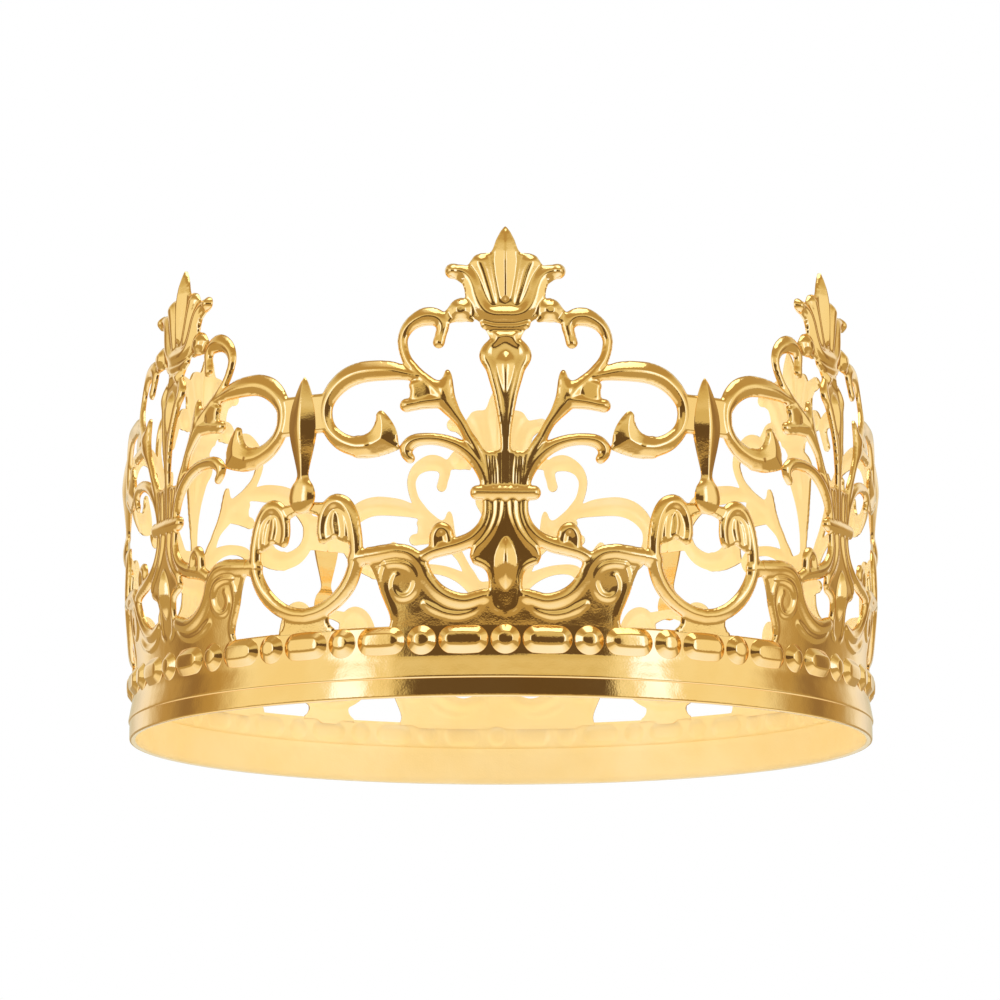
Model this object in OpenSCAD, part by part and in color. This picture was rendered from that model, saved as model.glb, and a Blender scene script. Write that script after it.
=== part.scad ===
/* Round pierced crown, built from pressed sheet: six fleur panels and six ring
   links stand on a beaded gallery strip, which is soldered round a plain head
   band. A spindle covers each joint between two panels.
   +Z is up, the origin is the centre of the rim, and the front faces -Y. */

/* [Overall] */
// Diameter of the plain head band where the gallery strip sits on it
band_d = 150; // [130:1:160]
// How far the tips of the panels lean in over the crown's height
lean = 2; // [0:0.5:4]

/* [Sheet] */
// Thickness of the head band's sheet
band_t = 0.8; // [0.6:0.1:1.2]
// Thickness of the pierced sheet
sheet_t = 0.8; // [0.6:0.1:1.2]

/* [Bosses] */
// How far the beads and ovals of the gallery stand out
bead_rise = 1; // [0.8:0.1:1.8]
// How far the spindles stand out
spindle_rise = 2.4; // [1.5:0.1:3]
// Slits of the piercing narrower than twice this are closed
slit = 0.3; // [0.2:0.1:0.5]

/* [Hidden] */

// The piercing is drawn on the unrolled sheet of a 150 mm band, as [across, up]
// in millimetres, and grows with the band.
drawn_d = 150;
unit = band_d / drawn_d;
band_r = band_d / 2;
face_r = band_r + sheet_t;

// Heights
ledge_z = 3.5 * unit;
band_h = 8 * unit;
bead_z = 10.8 * unit;
gallery_top = 13.6 * unit;
tip_z = 90.5 * unit;
above_tip = 95 * unit;

// Angles round the crown
repeats = 6;
panel_step = 360 / repeats;
link_half = 10;
panel_half = panel_step / 2 - link_half;

// Gallery: a bead and an oval alternate round it, each on a flat of its own
ledge_rise = 0.5;
bead_r = 2.6 * unit;
oval_half = 4.5 * unit;
beads = 30;
boss_step = 360 / beads;
bead_flat = 4.5;
boss_back = face_r - 0.25 * sheet_t;

// Sizes of the strokes' steps and of the cutting blocks
stroke_steps = 3;
far = 2 * band_d;

$fn = 96;
ring_fn = 360;

gold = [0.9, 0.68, 0.28];
pale_gold = [0.95, 0.78, 0.45];

// ---- Drawing on the unrolled sheet ----

// Where a point of the unrolled sheet stands when the sheet is seen face on
function rolled(p) = [band_r * sin(p[0] * unit / band_r * 180 / PI), p[1] * unit];

// A Catmull-Rom value between b and c
function between(a, b, c, d, t) =
    0.5 * (2 * b + (c - a) * t + (2 * a - 5 * b + 4 * c - d) * t * t
    + (3 * b - a - 3 * c + d) * t * t * t);

function held(list, i) = list[max(0, min(len(list) - 1, i))];

// A smooth run through [across, up, half width] points
function run(points) = [
    for (i = [0 : len(points) - 2], s = [0 : stroke_steps - 1])
        between(held(points, i - 1), points[i], points[i + 1], held(points, i + 2), s / stroke_steps),
    points[len(points) - 1]
];

function side(points, i, sign) =
    let (
        along = held(points, i + 1) - held(points, i - 1),
        long = norm([along[0], along[1]]),
        half = sign * points[i][2]
    )
    rolled([points[i][0] - along[1] / long * half, points[i][1] + along[0] / long * half]);

// A stroke of changing width with round ends
module stroke(points) {
    path = run(points);
    for (i = [0 : len(path) - 2])
        polygon([side(path, i, 1), side(path, i + 1, 1), side(path, i + 1, -1), side(path, i, -1)]);
    for (end = [path[0], path[len(path) - 1]])
        translate(rolled(end)) circle(end[2] * unit, $fn = 16);
}

module plate(points) {
    polygon([for (p = points) rolled(p)]);
}

module both_sides() {
    children();
    mirror([1, 0]) children();
}

// Closes the slits left where strokes meet
module closed_slits() {
    offset(delta = -slit) offset(delta = slit) children();
}

// ---- Outline of a fleur panel ----

module finial() {
    plate([
        [0, 90.5], [0.9, 89.5], [1.8, 87.8], [2.4, 86], [2.9, 85.2], [4.6, 85.1], [6, 84.5],
        [6.8, 83.5], [7.4, 82.6], [9.4, 82.9], [10.6, 83.1], [11.5, 82.4], [11.5, 81], [10.5, 80.3],
        [8.6, 79.3], [7.9, 77.8], [7.7, 76.2], [6.4, 71.6], [4.5, 70.8], [3.2, 69.4], [2.6, 67.6],
        [3.6, 66.6], [4.4, 65.8], [4.9, 64.4], [4.6, 62.4], [3.9, 60], [3.2, 57], [2.5, 54],
        [2, 51], [1.7, 47.5], [1.45, 43.5], [1.4, 38], [0, 38]
    ]);
    translate(rolled([8.6, 73.9])) circle(2.35 * unit, $fn = 24);
    plate([[6.2, 71.6], [6.6, 75.2], [11, 74.2], [12.2, 71.2], [10.6, 71.5], [8.4, 71.9]]);
}

module heart_scroll() {
    stroke([
        [12.9, 67.6, 1.15], [12.5, 69.2, 1.1], [12.2, 71, 1.3], [13.2, 72.5, 1.65], [15.3, 72.9, 1.8],
        [17.4, 72.2, 1.5], [19.1, 70.8, 1.2], [20, 68.8, 1], [19.9, 66.8, 0.95], [19.2, 64.6, 0.95],
        [17.9, 62.6, 1.05], [16.4, 61, 1.15], [14.6, 59.4, 1.3], [12.9, 57.6, 1.7], [11.3, 55.6, 1.8],
        [9.7, 53.4, 1.25], [8.4, 51.6, 1], [7.2, 49.4, 1], [5.7, 46.8, 1.2], [4.3, 43.5, 1],
        [3.4, 39.2, 0.8]
    ]);
    plate([[0, 47], [1.6, 46.3], [3.6, 46.1], [6.4, 48.4], [8.2, 47.4], [5, 42.5], [4.2, 38.2], [0, 38]]);
}

module thorn_and_knob() {
    plate([
        [9.3, 54.6], [9.8, 57.6], [10.2, 60.4], [10.6, 61.7], [11.1, 62.2], [11.6, 61.8],
        [12, 60.7], [12.7, 60], [13.8, 59.9], [13.6, 56.5], [11, 54.6]
    ]);
    stroke([
        [11.6, 56.2, 1.6], [13.6, 56.1, 1.5], [15.8, 55.9, 1.35], [17.6, 55.6, 1.25], [19.1, 55.4, 1.3]
    ]);
    plate([[14, 60.2], [17, 60.4], [18.6, 59.6], [18.4, 58.2], [18.2, 56.4], [15, 56]]);
}

module c_scroll() {
    stroke([
        [17, 61, 1.1], [19.4, 61.7, 1.3], [22.4, 62.4, 1.85], [26, 62.6, 2.05], [29, 62.35, 2.1],
        [31.8, 61.3, 2.05], [34.2, 59.3, 1.8], [35.6, 56.8, 1.45], [35.7, 54, 1.35],
        [34.6, 51.4, 1.4], [32.3, 49.3, 1.65], [29.4, 48.1, 1.85], [27, 47.9, 2.1]
    ]);
    plate([
        [24.1, 54.8], [23.2, 54.1], [22.2, 52.9], [21.3, 51.4], [20.8, 50], [20.6, 48.5],
        [20.6, 47.1], [21.6, 46.5], [23.3, 46.1], [25.4, 45.8], [27.6, 45.8], [29.6, 46.3],
        [29.4, 49.9], [28, 50.1], [26.6, 50.6], [25.7, 51.6], [25.2, 52.9], [25, 54.3]
    ]);
    plate([[34.6, 59], [41, 59], [41, 51.2], [34.4, 51.3]]);
}

module low_branch() {
    stroke([
        [3.4, 38.8, 0.95], [4.2, 41.8, 1.15], [5.8, 44.6, 1.3], [8.3, 46.9, 1.3], [11.5, 48.3, 1.15],
        [14.8, 48.8, 1.1], [17.5, 48.5, 1.25], [18.9, 47.4, 1.3], [19, 46.2, 1.1], [18.3, 45.2, 0.95]
    ]);
}

module clasp() {
    stroke([[0, 38.25, 1.4], [2.6, 38.25, 1.4], [5.3, 38.3, 1.4]]);
}

module lozenge() {
    plate([
        [0, 37.2], [4.1, 37.2], [4.2, 34.5], [5.4, 31.6], [6.2, 28.5], [6.5, 26], [6.2, 24.7],
        [4.4, 24], [3.6, 23], [3.2, 21.4], [3.1, 17], [0, 16]
    ]);
}

module strand() {
    stroke([
        [3.4, 36.8, 0.85], [3.5, 34.2, 0.9], [4.4, 31.8, 1.05], [6.3, 29.7, 1.3], [8.8, 28.5, 1.45],
        [11.5, 27.8, 1.35], [14, 27.1, 1.25], [15.6, 26.3, 1.2]
    ]);
    stroke([
        [13.3, 28.2, 0.9], [13.3, 30.2, 1.1], [12.3, 31.6, 1.25], [11.1, 31, 1.15], [10.6, 29.2, 1]
    ]);
    plate([[9.9, 28.4], [10.6, 31.2], [12.2, 32.2], [13.9, 30.8], [14.2, 28]]);
}

module s_scroll_and_foot() {
    stroke([
        [30, 26.9, 1.65], [25.8, 27, 1.65], [23.2, 27.3, 1.65], [20.8, 27.5, 1.55], [18.2, 26.9, 1.5],
        [16.2, 25, 1.45], [14.9, 22.4, 1.45], [12.9, 20, 1.5], [10.4, 18.4, 1.6], [7.6, 17.8, 1.6],
        [5.2, 18.3, 1.6], [4, 18.7, 1.5]
    ]);
    plate([
        [29, 27], [29, 25.9], [26.8, 25.6], [25.4, 24.2], [24.6, 22.4], [23.8, 20], [22.7, 17.6],
        [21.5, 15.6], [21.5, 13.6], [0, 13.6], [0, 18.4], [8, 18.4], [12, 19.2], [15.6, 23], [16.5, 26],
        [20, 27]
    ]);
}

module panel_outline() {
    closed_slits() both_sides() {
        finial();
        heart_scroll();
        thorn_and_knob();
        c_scroll();
        low_branch();
        clasp();
        lozenge();
        strand();
        s_scroll_and_foot();
    }
}

// ---- Outline of a ring link ----

module ring_outline() {
    closed_slits() both_sides() {
        stroke([
            [0, 16.6, 1.35], [3, 17.1, 1.4], [6.2, 18.6, 1.45], [9.2, 21.4, 1.5], [11, 25, 1.45],
            [11.4, 28.5, 1.35], [11, 32, 1.4], [10.1, 35.2, 1.5], [8.5, 37.3, 1.6], [6.5, 37.7, 1.5],
            [4.8, 36.3, 1.2], [4.1, 34.2, 0.95], [4, 32.2, 0.9], [4.3, 30.8, 0.85]
        ]);
        plate([
            [4, 31], [4.2, 36], [7, 37.4], [10.2, 35.4], [10.9, 31.5], [9.9, 29.7], [8.2, 30.2],
            [6.9, 30.8], [5.6, 30.4], [4.4, 29.9]
        ]);
        plate([[0, 38.3], [5.4, 37.8], [5.2, 35.4], [3.2, 35.4], [1.6, 36], [0, 36.2]]);
        plate([[0, 13.6], [5.6, 13.6], [5.3, 14.4], [4.9, 15.6], [4.9, 17], [0, 17]]);
        stroke([[11, 26.6, 1.4], [12.6, 26.8, 1.6], [15.5, 26.9, 1.65]]);
    }
}

// ---- From the unrolled sheet to the round crown ----

function face_at(z) = face_r - lean * (z - gallery_top) / (tip_z - gallery_top);

// The leaning sheet that the piercing is cut from, with a proud face where asked
module sheet_wall(proud) {
    rotate_extrude($fn = ring_fn)
        polygon([
            [face_at(gallery_top) - sheet_t, gallery_top], [face_at(gallery_top) + proud, gallery_top],
            [face_at(above_tip) + proud, above_tip], [face_at(above_tip) - sheet_t, above_tip]
        ]);
}

// The outline stood up on the front, and bent to the sheet
module bent(proud = 0) {
    intersection() {
        rotate([90, 0, 0]) translate([0, 0, band_r / 2]) linear_extrude(band_r) children();
        sheet_wall(proud);
    }
}

// A sector of the crown about the front, between two heights
module sector(half, bottom, top) {
    translate([0, 0, bottom])
        linear_extrude(top - bottom)
            polygon([[0, 0], [-far * sin(half), -far * cos(half)], [far * sin(half), -far * cos(half)]]);
}

// ---- Pieces ----

// A plain rim, flush with the gallery, and the rebate that the gallery sits on
module head_band() {
    inner_r = band_r - band_t;
    color(pale_gold)
        rotate_extrude($fn = ring_fn)
            polygon([
                [inner_r, 0], [face_r, 0], [face_r, ledge_z], [band_r, ledge_z], [band_r, band_h],
                [inner_r, band_h]
            ]);
}

// The sloping moulding under the beads
module ledge() {
    nose_r = face_r + ledge_rise;
    rotate_extrude($fn = ring_fn)
        polygon([
            [band_r, ledge_z], [nose_r - 0.2, ledge_z], [nose_r, ledge_z + 0.2], [nose_r, ledge_z + 0.6],
            [face_r - 0.1, band_h - 0.5], [face_r - 0.1, band_h], [band_r, band_h]
        ]);
}

// A wall with one flat behind each boss
module gallery_wall() {
    corner_r = face_r / cos(bead_flat / 2);
    corners = [for (i = [0 : beads - 1], half = [-bead_flat / 2, bead_flat / 2]) i * boss_step + half];
    translate([0, 0, band_h])
        linear_extrude(gallery_top - band_h)
            difference() {
                polygon([for (a = corners) corner_r * [sin(a), -cos(a)]]);
                circle(band_r, $fn = ring_fn);
            }
}

// A round boss or an oval one: a ball, or two balls with a bar between them,
// cut off flat inside the wall
module boss(half_length) {
    ball_r = (bead_r * bead_r + bead_rise * bead_rise) / (2 * bead_rise);
    reach = half_length - bead_r;
    intersection() {
        translate([0, -(face_r + bead_rise - ball_r), bead_z]) {
            if (reach > 0) {
                for (end = [-reach, reach]) translate([end, 0, 0]) sphere(ball_r);
                rotate([0, 90, 0]) cylinder(h = 2 * reach, r = ball_r, center = true);
            } else {
                sphere(ball_r);
            }
        }
        translate([-far / 2, -boss_back - far, 0]) cube(far);
    }
}

module bead_gallery() {
    color(gold) {
        ledge();
        gallery_wall();
        for (i = [0 : beads - 1]) {
            rotate([0, 0, i * boss_step]) boss(bead_r);
            rotate([0, 0, (i + 0.5) * boss_step]) boss(oval_half);
        }
    }
}

module fleur_panel(angle) {
    color(gold)
        rotate([0, 0, angle])
            intersection() {
                bent() panel_outline();
                union() {
                    sector(panel_half, gallery_top, 40 * unit);
                    sector(panel_step / 2, 40 * unit, above_tip);
                }
            }
}

module ring_link(angle) {
    color(gold)
        rotate([0, 0, angle])
            intersection() {
                bent() ring_outline();
                sector(link_half, gallery_top, 40 * unit);
            }
}

// Half widths of the spindle and its ball, up the joint
spindle_r = 2.95;
spindle_profile = [
    [0, 35.9], [1.5, 36.3], [2.6, 37.5], [spindle_r, 39], [2.6, 40.6], [1.6, 42.2], [1.3, 43.6],
    [1.4, 45], [2.2, 48], [spindle_r, 51.4], [2.8, 54.5], [2.1, 58], [1, 61], [0, 61.8]
];

// The sheet behind the spindle where neither a panel nor a link backs it
module spindle_back() {
    plate([[-1.4, 38], [1.4, 38], [1.2, 45], [2, 50.6], [-2, 50.6], [-1.2, 45]]);
    plate([[-1.7, 58.4], [1.7, 58.4], [0.7, 61.2], [-0.7, 61.2]]);
}

// The round spindle, cut flat where it seats on the sheet
module spindle_body() {
    sunk = spindle_r * unit - spindle_rise;
    intersection() {
        translate([0, sunk, 0]) rotate_extrude() polygon(spindle_profile * unit);
        translate([-far / 2, -far, 0]) cube(far);
    }
}

module spindle(angle) {
    tilt = atan(lean / (tip_z - gallery_top));
    color(gold)
        rotate([0, 0, angle]) {
            translate([0, -face_at(0), 0]) rotate([-tilt, 0, 0]) spindle_body();
            bent(proud = 0.4) spindle_back();
        }
}

head_band();
bead_gallery();
fleur_panel(0);  // fleur_panel_front
fleur_panel(panel_step);  // fleur_panel_front_right
fleur_panel(2 * panel_step);  // fleur_panel_back_right
fleur_panel(3 * panel_step);  // fleur_panel_back
fleur_panel(4 * panel_step);  // fleur_panel_back_left
fleur_panel(5 * panel_step);  // fleur_panel_front_left
ring_link(0.5 * panel_step);  // ring_link_front_right
ring_link(1.5 * panel_step);  // ring_link_right
ring_link(2.5 * panel_step);  // ring_link_back_right
ring_link(3.5 * panel_step);  // ring_link_back_left
ring_link(4.5 * panel_step);  // ring_link_left
ring_link(5.5 * panel_step);  // ring_link_front_left
spindle(0.5 * panel_step);  // spindle_front_right
spindle(1.5 * panel_step);  // spindle_right
spindle(2.5 * panel_step);  // spindle_back_right
spindle(3.5 * panel_step);  // spindle_back_left
spindle(4.5 * panel_step);  // spindle_left
spindle(5.5 * panel_step);  // spindle_front_left
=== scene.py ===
import math

import bpy
import numpy as np
from mathutils import Matrix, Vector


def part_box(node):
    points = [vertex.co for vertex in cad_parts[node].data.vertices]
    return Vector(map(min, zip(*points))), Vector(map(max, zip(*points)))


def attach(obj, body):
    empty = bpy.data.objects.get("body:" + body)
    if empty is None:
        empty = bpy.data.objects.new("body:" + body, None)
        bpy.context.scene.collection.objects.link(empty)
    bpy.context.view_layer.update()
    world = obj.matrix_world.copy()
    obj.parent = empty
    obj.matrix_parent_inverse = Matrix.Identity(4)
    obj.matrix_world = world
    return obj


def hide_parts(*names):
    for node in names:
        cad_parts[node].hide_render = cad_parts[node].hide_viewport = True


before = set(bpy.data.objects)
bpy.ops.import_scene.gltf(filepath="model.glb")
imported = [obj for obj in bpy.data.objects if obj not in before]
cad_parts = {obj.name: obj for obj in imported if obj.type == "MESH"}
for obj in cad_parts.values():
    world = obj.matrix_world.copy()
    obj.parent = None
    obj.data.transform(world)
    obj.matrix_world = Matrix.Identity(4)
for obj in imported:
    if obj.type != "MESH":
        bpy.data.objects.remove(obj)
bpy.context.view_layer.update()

# ---------------------------------------------------------------- the crown in millimetres
MM = 1000.0
# Outer face of the head band, and the radius that turns a drawn width into an angle
SHEET_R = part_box("head_band")[1].x * MM
BAND_R = SHEET_R - 0.8
BAND_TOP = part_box("head_band")[1].z * MM
GALLERY_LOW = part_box("bead_gallery")[0].z * MM
GALLERY_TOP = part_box("bead_gallery")[1].z * MM
TIP_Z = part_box("fleur_panel_front")[1].z * MM
# Face of the gallery strip, and how far a plain cone over it would lean in up to the tips
WALL_R = 75.33
LEAN = 2.0

# ---------------------------------------------------------------- relief fields
# Grid spacing, width of the rounded rim, and lowest height that is drawn
CELL = 0.25
BEVEL = 0.35
SHEET_LOW = 13.0
# A field's value far outside a shape, and how far round a stroke or a plate it is worked out
OUTSIDE = -3.0
FAR = 9.0
STROKE_MARGIN = 1.5
PLATE_MARGIN = 2.0
# Fillets where two outlines, two heights or a bead and its ground meet
JOIN = 0.3
CREASE = 0.12
BEAD_CREASE = 0.15


def spline(points, step=0.2, closed=False):
    """A smooth path through points, with its other columns smoothed alike."""
    p = np.array(points, float)
    if closed:
        ext = np.vstack([p[-1:], p, p[:2]])
    else:
        ext = np.vstack([2 * p[0] - p[1], p, 2 * p[-1] - p[-2]])
    rows = []
    for a, b, c, d in zip(ext[:-3], ext[1:-2], ext[2:-1], ext[3:]):
        count = max(1, int(np.linalg.norm((c - b)[:2]) / step))
        t = (np.arange(count) / count)[:, None]
        rows.append(0.5 * (2 * b + (c - a) * t + (2 * a - 5 * b + 4 * c - d) * t**2
                           + (3 * b - a - 3 * c + d) * t**3))
    if not closed:
        rows.append(p[-1:])
    return np.vstack(rows)


def smooth_max(a, b, k):
    """The larger of two fields, with a fillet of width k where they cross."""
    gap = np.maximum(k - np.abs(a - b), 0)
    return np.maximum(a, b) + gap * gap / (4 * k)


class Relief:
    """Inside distance and height over one half of a symmetric drawing, in mm."""

    def __init__(self, half, low, high):
        self.u = np.arange(0, half + CELL * 0.5, CELL)
        count = int(round((high - low) / CELL)) + 1
        self.v = np.linspace(low, high, count)
        self.U, self.V = np.meshgrid(self.u, self.v)
        self.inside = np.full(self.U.shape, OUTSIDE)
        self.height = np.zeros(self.U.shape)

    def window(self, points, margin):
        """The part of the grid round some points."""
        lo, hi = points[:, :2].min(0) - margin, points[:, :2].max(0) + margin
        i0, i1 = np.searchsorted(self.u, [lo[0], hi[0]])
        j0, j1 = np.searchsorted(self.v, [lo[1], hi[1]])
        return slice(max(j0 - 1, 0), j1 + 1), slice(max(i0 - 1, 0), i1 + 1)

    def stroke_field(self, points):
        """Inside distance and half width of a stroke through points of (u, v, half width)."""
        path = spline(points)
        field = np.full(self.U.shape, OUTSIDE)
        width = np.full(self.U.shape, path[0, 2])
        for a, b in zip(path[:-1], path[1:]):
            at = self.window(np.array([a, b]), a[2] + STROKE_MARGIN)
            U, V = self.U[at], self.V[at]
            along = (b - a)[:2]
            t = ((U - a[0]) * along[0] + (V - a[1]) * along[1]) / max(along @ along, 1e-9)
            t = np.clip(t, 0, 1)
            w = a[2] + t * (b[2] - a[2])
            f = w - np.hypot(U - a[0] - t * along[0], V - a[1] - t * along[1])
            better = f > field[at]
            field[at] = np.where(better, f, field[at])
            width[at] = np.where(better, w, width[at])
        return field, width

    def plate_field(self, outline):
        """Inside distance of a closed outline."""
        field = np.full(self.U.shape, OUTSIDE)
        at = self.window(outline, PLATE_MARGIN)
        U, V = self.U[at], self.V[at]
        dist = np.full(U.shape, FAR)
        odd = np.zeros(U.shape, bool)
        for a, b in zip(outline, np.roll(outline, -1, 0)):
            along = b - a
            t = ((U - a[0]) * along[0] + (V - a[1]) * along[1]) / max(along @ along, 1e-9)
            t = np.clip(t, 0, 1)
            dist = np.minimum(dist, np.hypot(U - a[0] - t * along[0], V - a[1] - t * along[1]))
            if abs(along[1]) > 1e-12:
                cross = a[0] + (V - a[1]) / along[1] * along[0]
                odd ^= ((a[1] > V) != (b[1] > V)) & (U < cross)
        field[at] = np.where(odd, dist, -dist)
        return field

    def add(self, field, width, lift, power, base):
        """Join a shape that rises by lift times its half width, flat (power 1) or rounded."""
        t = np.clip(1 - field / width, 0, 1)
        height = base + lift * width * (1 - t**power)
        height = np.where(field > 0, height, np.maximum(base + field * 2.0, -1))
        self.join(field, height, CREASE)

    def join(self, field, height, crease):
        """Merge a shape's inside distance and height with what is there."""
        self.inside = smooth_max(self.inside, field, JOIN)
        self.height = np.where(field > -JOIN, smooth_max(self.height, height, crease), self.height)

    def stroke(self, points, lift=0.46, power=1.3, base=0.0):
        """A rounded ridge along a smooth path."""
        field, width = self.stroke_field(points)
        self.add(field, width, lift, power, base)

    def plate(self, points, width=0.8, lift=0.6, power=1.8, base=0.0, rounded=True, mirrored=False):
        """A filled outline, smoothed if rounded, and closed over the middle line if mirrored."""
        p = np.array(points, float)
        if mirrored:
            p = np.vstack([p, p[::-1] * [-1, 1]])
        if rounded:
            p = spline(p, closed=True)
        self.add(self.plate_field(p), width, lift, power, base)

    def bead(self, centre, radius, flat, rise):
        """A cone cut off flat at the top."""
        field = radius - np.hypot(self.U - centre[0], self.V - centre[1])
        self.join(field, np.minimum(field * rise / (radius - flat), rise), BEAD_CREASE)


# ---------------------------------------------------------------- the bellied wall
# Height of the rim over the ground, and of the plain plate with its rounded rim
RIM = 0.3
BEVEL_RISE = 0.8
PLATE = RIM + BEVEL_RISE * BEVEL + 0.05
# How far the wall stands out (height, mm) beyond the gallery's face
SWELL = spline([[13, 0], [20, 0.7], [28, 1.5], [38, 1.25], [46, 1.3], [54, 1.5], [61, 1.0], [70, -0.35],
                [80, -1.2], [92, -2.1]])
# Height where the links end and the panels meet each other, and a hair of an angle, in degrees
LINK_TOP = 40.0
HAIR = 1e-3


def wall_r(v):
    """Radius of the sheet's ground level, which bellies out below and leans in at the tips."""
    return WALL_R - PLATE + np.interp(v, SWELL[:, 0], SWELL[:, 1])


def turn_at(u, v):
    """Angle round the crown of a point of the drawing, which is drawn on a plain leaning cone."""
    cone = WALL_R - LEAN * (v - GALLERY_TOP) / (TIP_Z - GALLERY_TOP)
    return u / BAND_R * cone / (wall_r(v) + PLATE)


def cut_sheet(r, half_low, half_high):
    """The relief's inside distance, cut at an angle from its middle beside the links and one above."""
    turned = np.degrees(turn_at(r.U, r.V)) - HAIR
    reach = np.where(r.V < LINK_TOP, half_low, half_high)
    return np.minimum(r.inside, np.radians(reach - turned) * BAND_R)


# ---------------------------------------------------------------- the fleur panel
def webs(r):
    """Low webs and back plates behind the raised strokes."""
    r.plate([[6.0, 71.4], [6.6, 75.4], [8.6, 76.3], [10.6, 75.0], [12, 73.4], [12.2, 71.2], [10.6, 71.5],
             [8.4, 71.9]], 0.6, 0.1, rounded=False)
    r.plate([[0, 72], [4.4, 72.4], [3.9, 70.2], [2.9, 68.2], [3.3, 66.0], [4.0, 65.6], [4.0, 63.5],
             [3.0, 60], [1.6, 56], [0.7, 52], [0.5, 45], [0, 45]], 0.6, 0.1, rounded=False, mirrored=True)
    r.plate([[0, 47], [1.6, 46.3], [3.6, 46.1], [6.4, 48.4], [8.2, 47.4], [5.0, 42.5], [4.2, 38.2],
             [0, 38]], 0.5, 0.1, rounded=False, mirrored=True)
    r.plate([[34.6, 58.9], [41, 59.0], [41, 51.2], [34.6, 51.4]], 0.6, 0.5, rounded=False)


def finial(r):
    """Petals, middle leaf, cup and the knobs beside them."""
    r.plate([[0, 90.5], [0.9, 89.5], [1.8, 87.8], [2.4, 86], [2.9, 85.2], [4.6, 85.1], [6.0, 84.5],
             [6.8, 83.5], [7.4, 82.6], [9.4, 82.8], [10.4, 82.6], [10.6, 80.8], [9.4, 79.9], [8.3, 79.1],
             [7.9, 77.8], [7.7, 76.2], [6.6, 73.4], [5.6, 72], [4.5, 71.2], [0, 71]], 0.6, 0.1,
            rounded=False, mirrored=True)
    r.stroke([[9.9, 81.8, 1.2], [8.3, 81.5, 1.35], [7.0, 80.5, 1.6], [6.2, 78.8, 1.75], [5.7, 77, 1.8],
              [5.0, 75.2, 1.8], [4.1, 73.9, 1.8], [2.9, 73.1, 1.9], [1.5, 72.8, 2.0], [0, 72.8, 2.0]], 0.44)
    r.stroke([[4.8, 83.2, 1.8], [4.05, 81.2, 1.6], [3.3, 78.6, 1.35], [2.65, 76.4, 1.1], [2.3, 75.2, 0.9]],
             0.5, 1.7)
    r.plate([[0, 90.6], [0.8, 89.4], [1.6, 87.6], [2.1, 85.6], [2.3, 83.5], [2.0, 80.5], [1.5, 77.6],
             [1.1, 75.8], [0, 75.0]], 2.3, 0.62, 1.1, mirrored=True, rounded=False)
    r.bead([10.3, 81.7], 1.5, 0.5, 1.0)
    r.bead([8.6, 73.9], 2.35, 0.85, 1.1)
    r.stroke([[0, 70.45, 1.0], [2, 70.5, 1.0], [4.0, 71.0, 0.85]])
    r.plate([[0, 69.8], [2.6, 69.8], [2.7, 68.0], [2.9, 66.8], [2.2, 66.2], [0, 67.4]], 2.4, 0.42, 1.5,
            mirrored=True)


def bud_and_stem(r):
    """Rims of the bud, its drop, and the fluted stem."""
    rim = [[2.7, 67.3, 0.8], [3.5, 65.9, 1.15], [3.7, 64.4, 1.3], [2.8, 62.2, 1.0], [2.25, 60, 0.9],
           [1.65, 57.4, 0.78], [1.25, 55.2, 0.72], [0.85, 52.5, 0.62], [0.55, 50, 0.55], [0.42, 47, 0.52],
           [0.45, 43.5, 0.55], [0.5, 39.6, 0.6]]
    r.stroke(rim, 0.5)
    for u in (1.7, 2.7):
        r.stroke([[u, 39.6, 0.5], [u + 0.15, 42.5, 0.5], [u + 0.4, 45.4, 0.4]], 0.9)
    r.plate([[0, 65.8], [0.9, 65.3], [1.7, 64.2], [2.0, 62.8], [1.8, 61.2], [1.3, 59.4], [0.6, 57.6],
             [0, 56.4]], 2.0, 0.5, 1.3, mirrored=True)


def heart_scroll(r):
    """Heart scroll and the branch that runs down to the clasp."""
    r.stroke([[12.9, 67.6, 1.15], [12.5, 69.2, 1.1], [12.2, 71.0, 1.3], [13.2, 72.5, 1.65],
              [15.3, 72.9, 1.8], [17.4, 72.2, 1.5], [19.1, 70.8, 1.2], [20.0, 68.8, 1.0],
              [19.9, 66.8, 0.95], [19.2, 64.6, 0.95], [17.9, 62.6, 1.05]])
    r.stroke([[17.9, 62.6, 1.05], [16.4, 61, 1.15], [14.6, 59.4, 1.3], [12.9, 57.6, 1.7], [11.3, 55.6, 1.8],
              [9.7, 53.4, 1.25], [8.4, 51.6, 1.0], [7.2, 49.4, 1.0], [5.7, 46.8, 1.2], [4.3, 43.5, 1.0],
              [3.4, 39.6, 0.8]], 0.42)


def thorn_and_knob(r):
    """Thorn and the notched arm beside it."""
    r.plate([[9.3, 54.6], [9.8, 57.6], [10.2, 60.4], [10.6, 61.7], [11.1, 62.2], [11.6, 61.8], [12.0, 60.7],
             [12.7, 60.0], [13.8, 59.9], [13.6, 56.5], [11, 54.6]], 2.4, 0.42, 1.2)
    r.stroke([[11.6, 56.2, 1.6], [13.6, 56.1, 1.5], [15.8, 55.9, 1.35], [17.6, 55.6, 1.25],
              [19.1, 55.4, 1.3]])
    r.plate([[14.2, 60.3], [17, 60.4], [18.6, 59.6], [18.4, 58.2], [18.2, 56.4], [15, 56]], 0.8, 0.5)


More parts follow.
